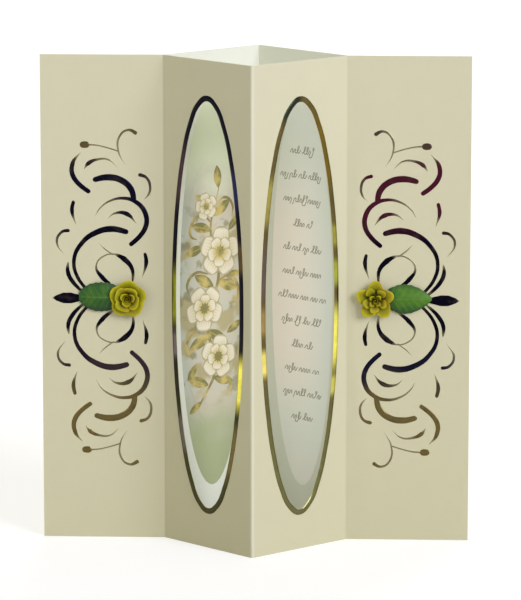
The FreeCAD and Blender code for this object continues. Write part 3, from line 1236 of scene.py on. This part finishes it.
@dataclass(frozen=True)
class PictureInk:
    """Print of the picture's ground: pale green at both ends, cream between, with painted shade that makes
    it cooler on the left.
    """

    panel: Panel
    head: Colour = linear(214, 221, 190)
    foot: Colour = linear(160, 168, 128)
    cream: Colour = linear(192, 185, 163)
    cool_print_and_shade: Colour = linear(180, 185, 168)
    wash: Colour = linear(166, 154, 108)
    shade: Colour = linear(126, 122, 90)
    half_width: float = 18 * MM
    drift: float = 40 * MM
    middle_rise: Span = (48 * MM, 70 * MM)
    middle_fall: Span = (150 * MM, 132 * MM)
    head_rise: Span = (140 * MM, 168 * MM)
    foot_fall: Span = (62 * MM, 36 * MM)

    def material(self) -> bpy.types.Material:
        """Build the finish.

        Returns:
            The material.
        """
        paint = Paint.ink("picture ink")
        height = paint.along(UP)
        across = paint.across(self.panel)
        cloud = paint.noise(55.0, 3.0)
        drift = height + (cloud - 0.5) * self.drift
        # Painted shade: a cool strip along the left of the picture; the cool patches after it are print.
        field = paint.mix(across.rise(-0.2 * self.half_width, -self.half_width), self.cream, self.cool_print_and_shade)
        field = paint.mix(cloud.rise(0.5, 0.68) * 0.5, field, self.cool_print_and_shade)
        middle = height.rise(*self.middle_rise) * height.rise(*self.middle_fall)
        field = paint.mix(paint.noise(90.0, 3.0).rise(0.5, 0.62) * middle * 0.85, field, self.wash)
        field = paint.mix(paint.noise(130.0, 4.0).rise(0.54, 0.64) * middle * 0.7, field, self.shade)
        colour = paint.mix(drift.rise(*self.head_rise), field, self.head)
        colour = paint.mix(drift.rise(*self.foot_fall), colour, self.foot)
        paint.feed("Base Color", paint.grained(colour))
        return paint.material


@dataclass(frozen=True)
class VerseInk:
    """Print under the verse: cool pale grey, with a painted pool of warm light left of its middle."""

    panel: Panel
    cool: Colour = linear(232, 237, 228)
    warm_light_pool: Colour = linear(245, 238, 226)
    foot: Colour = linear(236, 235, 226)
    half_width: float = 18 * MM
    light_pool_reach: float = 75 * MM
    light_pool_fill: float = 1.4
    foot_fall: Span = (46 * MM, 22 * MM)

    def material(self) -> bpy.types.Material:
        """Build the finish.

        Returns:
            The material.
        """
        paint = Paint.ink("verse ink")
        height = paint.along(UP)
        across = paint.across(self.panel)
        cloud = (paint.noise(60.0, 3.0) - 0.5) * 0.5
        # Painted light: a warm pool left of the middle, about mid-height.
        inner = across.rise(self.half_width, -0.3 * self.half_width)
        middle = height.band(CARD.height / 2, self.light_pool_reach) * self.light_pool_fill
        colour = paint.mix((middle + cloud).least(1.0) * inner, self.cool, self.warm_light_pool)
        colour = paint.mix(height.rise(*self.foot_fall), colour, self.foot)
        paint.feed("Base Color", paint.grained(colour))
        return paint.material


@dataclass(frozen=True)
class PetalInk:
    """Printed petals: cream, with a tan outline and fine veins, and gold at their roots."""

    cream: Colour = linear(216, 208, 182)
    gold: Colour = linear(196, 178, 104)
    tan: Colour = linear(146, 136, 92)

    def material(self) -> bpy.types.Material:
        """Build the finish.

        Returns:
            The material.
        """
        paint = Paint.ink("petal ink")
        tip = paint.attribute("tip")
        side = paint.attribute("side")
        wash = paint.noise(220.0, 3.0)
        colour = paint.mix((tip + wash * 0.4).rise(0.95, 0.3), self.cream, self.gold)
        veins = (side * 22 + tip * 3).sine().rise(0.45, 1.0) * tip.rise(0.95, 0.3)
        border = tip.rise(0.82, 0.97).most(side.rise(0.72, 0.95))
        colour = paint.mix((veins * 0.4).most(border * 0.8), colour, self.tan)
        paint.feed("Base Color", colour)
        return paint.material


@dataclass(frozen=True)
class SprigInk:
    """Printed leaves and stems: olive tan washed with gold, with a paler rib."""

    name: str
    shade: Colour
    gold: Colour = linear(190, 172, 102)

    def material(self) -> bpy.types.Material:
        """Build the finish.

        Returns:
            The material.
        """
        paint = Paint.ink(self.name)
        wash = paint.noise(180.0, 3.0)
        colour = paint.mix(wash.rise(0.4, 0.66), self.shade, self.gold)
        rib = paint.attribute("side").rise(0.2, 0.0) * paint.attribute("tip").rise(0.0, 0.2)
        paint.feed("Base Color", paint.mix(rib * 0.6, colour, self.gold))
        return paint.material


@dataclass(frozen=True)
class PrintedSpray:
    """Spray of blossoms, leaves and tendrils printed on the picture, in millimetres from its middle.

    Lines are points across, up and width. Blossoms are across, up, radius and turn, and leaves are
    across, up, heading and length. Leaves, petals and the marks in the eyes lie on layers of their own.
    """

    stem: tuple = (
        (-7.0, -49.0, 0.9), (1.5, -34.0, 1.6), (-3.0, -14.0, 1.7),
        (3.5, 8.0, 1.6), (-1.0, 27.0, 1.2), (3.5, 45.0, 0.5),
    )
    tendrils: tuple = (
        ((-0.5, 30.0, 0.7), (-6.0, 34.0, 1.3), (-11.0, 31.0, 1.5), (-12.0, 25.5, 1.3), (-8.5, 23.5, 0.4)),
        ((2.0, 38.0, 0.6), (7.0, 40.5, 1.2), (11.0, 37.0, 1.3), (11.0, 32.0, 0.5)),
        ((2.5, 4.0, 0.7), (9.0, 6.0, 1.5), (13.5, 2.0, 1.6), (13.5, -4.5, 1.4), (9.5, -6.5, 0.4)),
        (
            (-2.0, -18.0, 0.7), (-8.5, -16.0, 1.4), (-13.5, -19.5, 1.6),
            (-13.5, -25.5, 1.2), (-9.5, -27.0, 0.4),
        ),
        ((0.0, -38.0, 0.7), (6.5, -38.5, 1.4), (10.0, -43.0, 1.4), (7.5, -47.0, 0.5)),
        ((-2.5, 8.0, 0.7), (-9.5, 9.0, 1.4), (-14.0, 4.5, 1.4), (-13.0, -0.5, 0.5)),
    )
    blossoms: tuple = (
        (4.0, 17.0, 11.6, 12), (-4.5, -7.0, 10.8, 50), (3.0, -29.0, 10.2, 80), (-3.5, 37.5, 6.4, 30),
    )
    leaves: tuple = (
        (3.3, 45.0, 95, 10.0), (-0.8, 36.0, 140, 11.0), (0.6, 33.0, 35, 11.0), (-0.9, 27.0, 165, 11.0),
        (2.8, 4.0, 340, 11.5), (0.4, 2.0, 150, 12.0), (-2.6, -17.0, 330, 12.0), (-1.8, -19.0, 205, 12.5),
        (0.6, -38.0, 345, 11.0), (-2.6, -41.0, 160, 11.5), (-6.4, -48.0, 215, 8.0), (-5.0, 20.0, 195, 10.5),
        (9.0, 26.0, 50, 8.0), (8.0, -19.0, 30, 9.0), (-9.0, -31.0, 235, 8.5), (9.0, 7.0, 355, 7.0),
    )
    petals: int = 5
    leaf_slimness: float = 0.42
    petal_rings: tuple = ((0, 1.0), (1, 0.62))
    mark_size: float = 0.26
    petal_grid: tuple[int, int] = (10, 10)
    leaf_grid: tuple[int, int] = (6, 12)
    ink: float = 0.02 * MM
    layer: float = 0.006 * MM
    leaf_layer: int = 2
    leaf_layers: int = 5
    petal_layer: int = 8
    mark_layer: int = 20

    def petal(self) -> bpy.types.Object:
        """Petal of length 1 mm along X, from its root at the blossom's middle.

        Returns:
            The petal, with its thickness.
        """

        def shape(across: float, up: float) -> Vector:
            """Place of a point of the petal.

            Args:
                across: share of the sheet's width, from 0 to 1.
                up: share from its root, 0, to its tip, 1.

            Returns:
                The place, in metres.
            """
            sideways = 2 * across - 1
            half = 0.43 * math.sin(math.pi * (0.06 + 0.74 * up)) ** 0.8
            reach = (0.1 + 0.9 * up) * (1 - 0.13 * up * sideways ** 2)
            notch = 0.05 * up ** 6 * (1 - abs(sideways)) ** 2
            return Vector((reach - notch, half * sideways, 0)) * MM

        sheet = patch(*self.petal_grid, shape)
        thicken(sheet, self.ink, levels=0)
        return sheet

    def leaf(self) -> bpy.types.Object:
        """Leaf of length 1 mm along X.

        Returns:
            The leaf, with its thickness.
        """

        def shape(across: float, up: float) -> Vector:
            """Place of a point of the leaf.

            Args:
                across: share of the sheet's width, from 0 to 1.
                up: share from its root, 0, to its tip, 1.

            Returns:
                The place, in metres.
            """
            half = self.leaf_slimness / 2 * math.sin(math.pi * min(0.02 + 0.98 * up, 1)) ** 0.8
            return Vector((up, half * (2 * across - 1), 0)) * MM

        sheet = patch(*self.leaf_grid, shape)
        thicken(sheet, self.ink, levels=0)
        return sheet

    def spots(self) -> tuple[list[Matrix], list[Matrix], list[Matrix]]:
        """Places of the leaves, of the petals and of the small marks in the blossoms' eyes.

        Returns:
            Frames of the leaves, of the petals and of the marks.
        """
        leaves = []
        petals = []
        marks = []
        for index, (across, up, heading, length) in enumerate(self.leaves):
            level = self.leaf_layer + index % self.leaf_layers
            leaves.append(self.spot(across, up, heading, length, level))
        for across, up, radius, turn in self.blossoms:
            for ring, size in self.petal_rings:
                for index in range(self.petals):
                    heading = turn + 360 * (index + ring / 2) / self.petals
                    level = self.petal_layer + self.petals * ring + index
                    petals.append(self.spot(across, up, heading, radius * size, level))
            for index in range(2 * self.petals):
                heading = turn + 180 * index / self.petals
                level = self.mark_layer + index % 2
                marks.append(self.spot(across, up, heading, radius * self.mark_size, level))
        return leaves, petals, marks

    def spot(self, across: float, up: float, heading: float, size: float, level: int) -> Matrix:
        """Frame of one mark: its place, heading and size, on a layer of the print."""
        place = Matrix.Translation(Vector((across * MM, up * MM, level * self.layer)))
        return place @ Matrix.Rotation(math.radians(heading), 4, UP) @ Matrix.Diagonal((size, size, 1, 1))

    def build(self) -> None:
        """Model the spray and lay it on the picture."""
        lift = CARD.thickness / 2 + 2 * CARD.print_thickness
        place = inner_panel(Side.LEFT).place(CARD.panel_width / 2, lift)
        stems = Strokes("spray_stems", place, crown=0.03, path_steps=8)
        for line in (self.stem, *self.tendrils):
            stems.add_path([(across * MM, up * MM, width * MM) for across, up, width in line])
        stems.finish(SprigInk("stem ink", linear(134, 122, 76)).material(), [])
        leaves, petals, marks = self.spots()
        foliage = joined(copies(self.leaf(), leaves) + copies(self.leaf(), marks))
        leaf_ink = SprigInk("sprig leaf ink", linear(122, 118, 70)).material()
        settle(foliage, "spray_leaves", place, leaf_ink, [])
        flowers = joined(copies(self.petal(), petals))
        petal_ink = PetalInk().material()
        settle(flowers, "spray_blossoms", place, petal_ink, ["picture_sprig"])


@dataclass(frozen=True)
class Verse:
    """Rows of running pen strokes that stand for a verse, without letters, in millimetres."""

    row_widths: tuple = (14, 26, 22, 10, 22, 23, 28, 24, 12, 20, 22, 12)
    pitch: float = 10.6
    rise: float = 2.0
    gap: float = 1.5
    shortest_word: float = 3.2
    longest_word: float = 7.0
    step: float = 0.8
    low: float = 1.55
    tall: float = 3.1
    deep: float = -1.3
    slant: float = 0.35
    loop: float = 0.28
    loop_height: float = 0.6
    tall_share: float = 0.28
    deep_share: float = 0.14
    pen: float = 0.4
    seed: int = 5

    def word(self, chance: random.Random, start: float, base: float, length: float) -> list[tuple]:
        """Points of one word's pen stroke, in metres.

        Args:
            chance: the verse's random numbers.
            start: the word's left end, in millimetres from the panel's middle.
            base: the row's height above mid-height, in millimetres.
            length: the word's length in millimetres.

        Returns:
            Across, up and width of each point.
        """
        marks = []
        count = max(3, round(length / self.step))
        for index in range(count + 1):
            along = start + length * index / count
            if index % 2 and chance.random() < self.tall_share:
                beside = self.tall * self.loop_height
                marks += [(along + self.loop, beside), (along, self.tall), (along - self.loop, beside)]
            elif index % 2:
                marks.append((along, self.low))
            else:
                marks.append((along - self.loop, self.deep if chance.random() < self.deep_share else 0))
        return [((x + self.slant * y) * MM, (base + y) * MM, self.pen * MM) for x, y in marks]

    def build(self, material: bpy.types.Material) -> bpy.types.Object:
        """Write every row and lay the verse on its panel.

        Args:
            material: the piece's finish.

        Returns:
            The finished piece.
        """
        lift = CARD.thickness / 2 + CARD.print_thickness
        place = inner_panel(Side.RIGHT).place(CARD.panel_width / 2, lift)
        script = Strokes("verse_script", place, crown=0.06, path_steps=4)
        chance = random.Random(self.seed)
        top = self.rise + self.pitch * (len(self.row_widths) - 1) / 2
        for row, width in enumerate(self.row_widths):
            at = -width / 2
            while at < width / 2 - self.shortest_word / 2:
                length = min(chance.uniform(self.shortest_word, self.longest_word), width / 2 - at)
                script.add_path(self.word(chance, at, top - row * self.pitch, length))
                at += length + self.gap
        return script.finish(material, ["verse_lines"])


@dataclass(frozen=True)
class SoftLamp:
    """Broad lamp that shines on the card from one side and above."""

    name: str
    turn: float
    height: float
    irradiance: float
    colour: tuple[float, float, float]
    spread: float = 30.0

    def build(self) -> None:
        """Make the lamp."""
        bpy.ops.object.select_all(action="DESELECT")
        bpy.ops.object.light_add(type="SUN")
        lamp = bpy.context.object
        lamp.name = self.name
        lamp.data.energy = self.irradiance
        lamp.data.color = self.colour
        lamp.data.angle = math.radians(self.spread)
        lamp.rotation_euler = direction(self.turn, self.height).to_track_quat("Z", "Y").to_euler()


def direction(turn: float, height: float) -> Vector:
    """Direction from the card, turned from straight ahead to the right and raised, in degrees.

    Args:
        turn: degrees to the right of straight ahead.
        height: degrees above level.

    Returns:
        A direction of length 1.
    """
    side = math.radians(turn)
    rise = math.radians(height)
    return Vector((math.sin(side) * math.cos(rise), -math.cos(side) * math.cos(rise), math.sin(rise)))


@dataclass(frozen=True)
class Studio:
    """Pale floor, even surrounding light, soft lamps in front and behind, and a slim one in the tube."""

    surround: float = 0.51
    surround_colour: Colour = (1.0, 0.98, 0.87, 1.0)
    seen_colour: Colour = (1, 1, 1, 1)
    lamps: tuple[SoftLamp, ...] = (
        SoftLamp("right lamp", 46, 25, 1.94, (1.0, 1.02, 1.18)),
        SoftLamp("left lamp", -46, 25, 0.30, (1.0, 0.98, 0.87)),
        SoftLamp("rear lamp", 168, 38, 0.95, (1.0, 0.99, 0.92)),
    )
    strip_width: float = 3 * MM
    strip_spot: Span = (8 * MM, 14 * MM)
    strip_power: float = 0.0108
    strip_colour: tuple[float, float, float] = (1.0, 1.01, 1.06)
    floor_size: float = 30.0
    floor_colour: Colour = (0.6, 0.6, 0.6, 1)
    floor_lift: float = 0.5

    def surroundings(self) -> None:
        """Even light from all round, seen as white by the camera and by what mirrors it."""
        world = bpy.data.worlds.new("studio")
        bpy.context.scene.world = world
        graph = Graph(world)
        light = {"Color": self.surround_colour, "Strength": self.surround}
        sockets = {
            0: graph.direct_rays(),
            1: graph.wire("ShaderNodeBackground", None, light),
            2: graph.wire("ShaderNodeBackground", None, {"Color": self.seen_colour}),
        }
        graph.node("ShaderNodeOutputWorld", None, {0: graph.wire("ShaderNodeMixShader", None, sockets)})

    def floor(self) -> None:
        """Wide floor that the camera sees as white except where the card shades it."""
        bpy.ops.object.select_all(action="DESELECT")
        bpy.ops.mesh.primitive_plane_add(size=self.floor_size)
        plane = bpy.context.object
        plane.name = "floor"
        material = bpy.data.materials.new("floor")
        graph = Graph(material)
        surface = graph.wire("ShaderNodeBsdfDiffuse", None, {0: self.floor_colour})
        lift = graph.wire("ShaderNodeEmission", None, {"Strength": graph.direct_rays() * self.floor_lift})
        total = graph.wire("ShaderNodeAddShader", None, {0: surface, 1: lift})
        graph.node("ShaderNodeOutputMaterial", None, {0: total})
        plane.data.materials.append(material)

    def strip(self) -> None:
        """Slim upright lamp behind the front ridge, which lights the inside of the tube."""
        bpy.ops.object.select_all(action="DESELECT")
        bpy.ops.object.light_add(type="AREA")
        lamp = bpy.context.object
        lamp.name = "strip lamp"
        lamp.data.shape = "RECTANGLE"
        lamp.data.size = self.strip_width
        lamp.data.size_y = CARD.height
        lamp.data.energy = self.strip_power
        lamp.data.color = self.strip_colour
        lamp.visible_camera = False
        across, behind = self.strip_spot
        lamp.location = (across, behind - CARD.ridge_depth, CARD.height / 2)
        lamp.rotation_euler = (-AWAY).to_track_quat("Z", "Y").to_euler()

    def build(self) -> None:
        """Make the whole studio."""
        self.surroundings()
        self.floor()
        self.strip()
        for lamp in self.lamps:
            lamp.build()


@dataclass(frozen=True)
class Viewpoint:
    """The photograph's camera: its place as a turn and a height about a target, and its lens."""

    distance: float = 1.759
    turn: float = 2.35
    rise: float = 10.72
    lens: float = 246.9
    sensor: float = 36.0
    near: float = 0.05
    target: tuple[float, float, float] = (0.00212, 0, 0.10467)

    def build(self) -> None:
        """Make the camera and let the scene use it."""
        bpy.ops.object.select_all(action="DESELECT")
        bpy.ops.object.camera_add()
        camera = bpy.context.object
        camera.data.lens = self.lens
        camera.data.sensor_width = self.sensor
        camera.data.sensor_fit = "AUTO"
        back = direction(self.turn, self.rise)
        camera.location = Vector(self.target) + back * self.distance
        camera.rotation_euler = (-back).to_track_quat("-Z", "Y").to_euler()
        camera.data.clip_start = self.near
        bpy.context.scene.camera = camera
        bpy.context.scene.view_settings.view_transform = "Standard"


def left_rim_foil() -> RimFoil:
    """Foil of the left window's ring, with painted reflections: black above, gold on the right below its
    middle.

    Returns:
        The ring's finish.
    """
    glints = (
        PaintedGlint(-1, 160, 18, linear(66, 52, 56)),
        PaintedGlint(1, 157, 12, linear(40, 40, 72)),
        PaintedGlint(1, 128, 9, linear(84, 68, 42)),
        PaintedGlint(-1, 107, 17, linear(126, 126, 36)),
        PaintedGlint(-1, 86, 8, linear(104, 92, 92)),
        PaintedGlint(1, 74, 15, linear(236, 226, 88)),
        PaintedGlint(1, 44, 17, linear(106, 94, 54)),
        PaintedGlint(-1, 48, 12, linear(92, 86, 76)),
    )
    panel = cover_panel(Side.LEFT, wing=False)
    return RimFoil("rim foil left", panel, linear(24, 22, 30), linear(64, 62, 36), glints)


def right_rim_foil() -> RimFoil:
    """Foil of the right window's ring, with painted reflections: olive, with gold on both halves below its
    middle.

    Returns:
        The ring's finish.
    """
    glints = (
        PaintedGlint(-1, 191, 9, linear(46, 52, 38)),
        PaintedGlint(1, 172, 24, linear(112, 92, 34)),
        PaintedGlint(-1, 152, 14, linear(152, 142, 72)),
        PaintedGlint(-1, 122, 18, linear(100, 84, 76)),
        PaintedGlint(1, 134, 7, linear(150, 144, 62)),
        PaintedGlint(1, 118, 8, linear(162, 164, 60)),
        PaintedGlint(-1, 101, 8, linear(156, 130, 82)),
        PaintedGlint(1, 90, 19, linear(232, 224, 100)),
        PaintedGlint(-1, 83, 8, linear(234, 216, 112)),
        PaintedGlint(1, 69, 6, linear(196, 190, 92)),
    )
    panel = cover_panel(Side.RIGHT, wing=False)
    return RimFoil("rim foil right", panel, linear(98, 86, 50), linear(106, 104, 66), glints)


def dress_sheets() -> None:
    """Give the two folded sheets their card."""
    ridge = CARD.thickness / 2 + CARD.ridge_depth
    cover = CardStock("cover stock", linear(203, 198, 164), linear(210, 205, 175), -ridge)
    inner = CardStock("inner stock", linear(216, 218, 202), linear(226, 228, 214), ridge)
    dress(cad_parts["cover_card"], cover.material())
    dress(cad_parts["inner_sheet"], inner.material())


def build_foil() -> None:
    """Model the scrolls of the wings and the rings of the windows."""
    left_foil = ScrollFoil("scroll foil left", linear(16, 13, 30), linear(88, 76, 52), linear(50, 38, 44))
    right_foil = ScrollFoil("scroll foil right", linear(66, 22, 38), linear(70, 56, 44), linear(20, 20, 38))
    ScrollWork(Side.LEFT).build(left_foil.material())
    ScrollWork(Side.RIGHT).build(right_foil.material())
    WindowRim(Side.LEFT).build(left_rim_foil().material())
    WindowRim(Side.RIGHT).build(right_rim_foil().material())


def build_print() -> None:
    """Print the picture and the verse on the inner sheet."""
    picture_ink = PictureInk(inner_panel(Side.LEFT)).material()
    dress(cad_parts["picture_ground"], picture_ink)
    dress(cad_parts["picture_haze"], picture_ink)
    PrintedSpray().build()
    dress(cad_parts["verse_ground"], VerseInk(inner_panel(Side.RIGHT)).material())
    Verse().build(Paint("pen ink", base_color=linear(146, 142, 126), roughness=0.6).material)


def build_flowers() -> None:
    """Stand a rose and its leaf on each wing."""
    rose_paper = RosePaper().material()
    round_rings = (
        PetalRing(3, 0.9, 3.2, 6.0, 150, 20),
        PetalRing(4, 1.8, 5.7, 5.0, 120, 60, 2.6, 0.26),
        PetalRing(5, 2.8, 8.2, 3.3, 108, 90, 2.8, 0.22),
    )
    star_rings = (
        PetalRing(4, 0.9, 3.0, 5.6, 96, 45, 1.6),
        PetalRing(5, 1.8, 5.8, 4.6, 78, 54, 1.6, 0.36),
        PetalRing(5, 2.6, 8.5, 3.2, 92, 90, 1.6, 0.34),
    )
    Rose(Side.LEFT, LEFT_ROSE_FROM_EDGE, round_rings).build(rose_paper)
    Rose(Side.RIGHT, RIGHT_ROSE_FROM_EDGE, star_rings, bud_turns=1.3, bud_radius=1.2).build(rose_paper)
    dark_leaf = LeafPaper("dark leaf paper", linear(28, 76, 16), linear(54, 98, 16))
    light_leaf = LeafPaper("light leaf paper", linear(58, 106, 16), linear(74, 120, 20))
    Leaf(Side.LEFT, LEFT_ROSE_FROM_EDGE, tip_from_edge=15.9, fullness=0.45).build(dark_leaf.material())
    Leaf(Side.RIGHT, RIGHT_ROSE_FROM_EDGE, tip_from_edge=16.2, fullness=0.8).build(light_leaf.material())


def main() -> None:
    """Build the card's pieces, the studio and the camera in order."""
    dress_sheets()
    build_foil()
    build_print()
    build_flowers()
    Studio().build()
    Viewpoint().build()


if __name__ == "__main__":
    logging.basicConfig(level=logging.INFO, format="%(name)s: %(message)s")
    main()
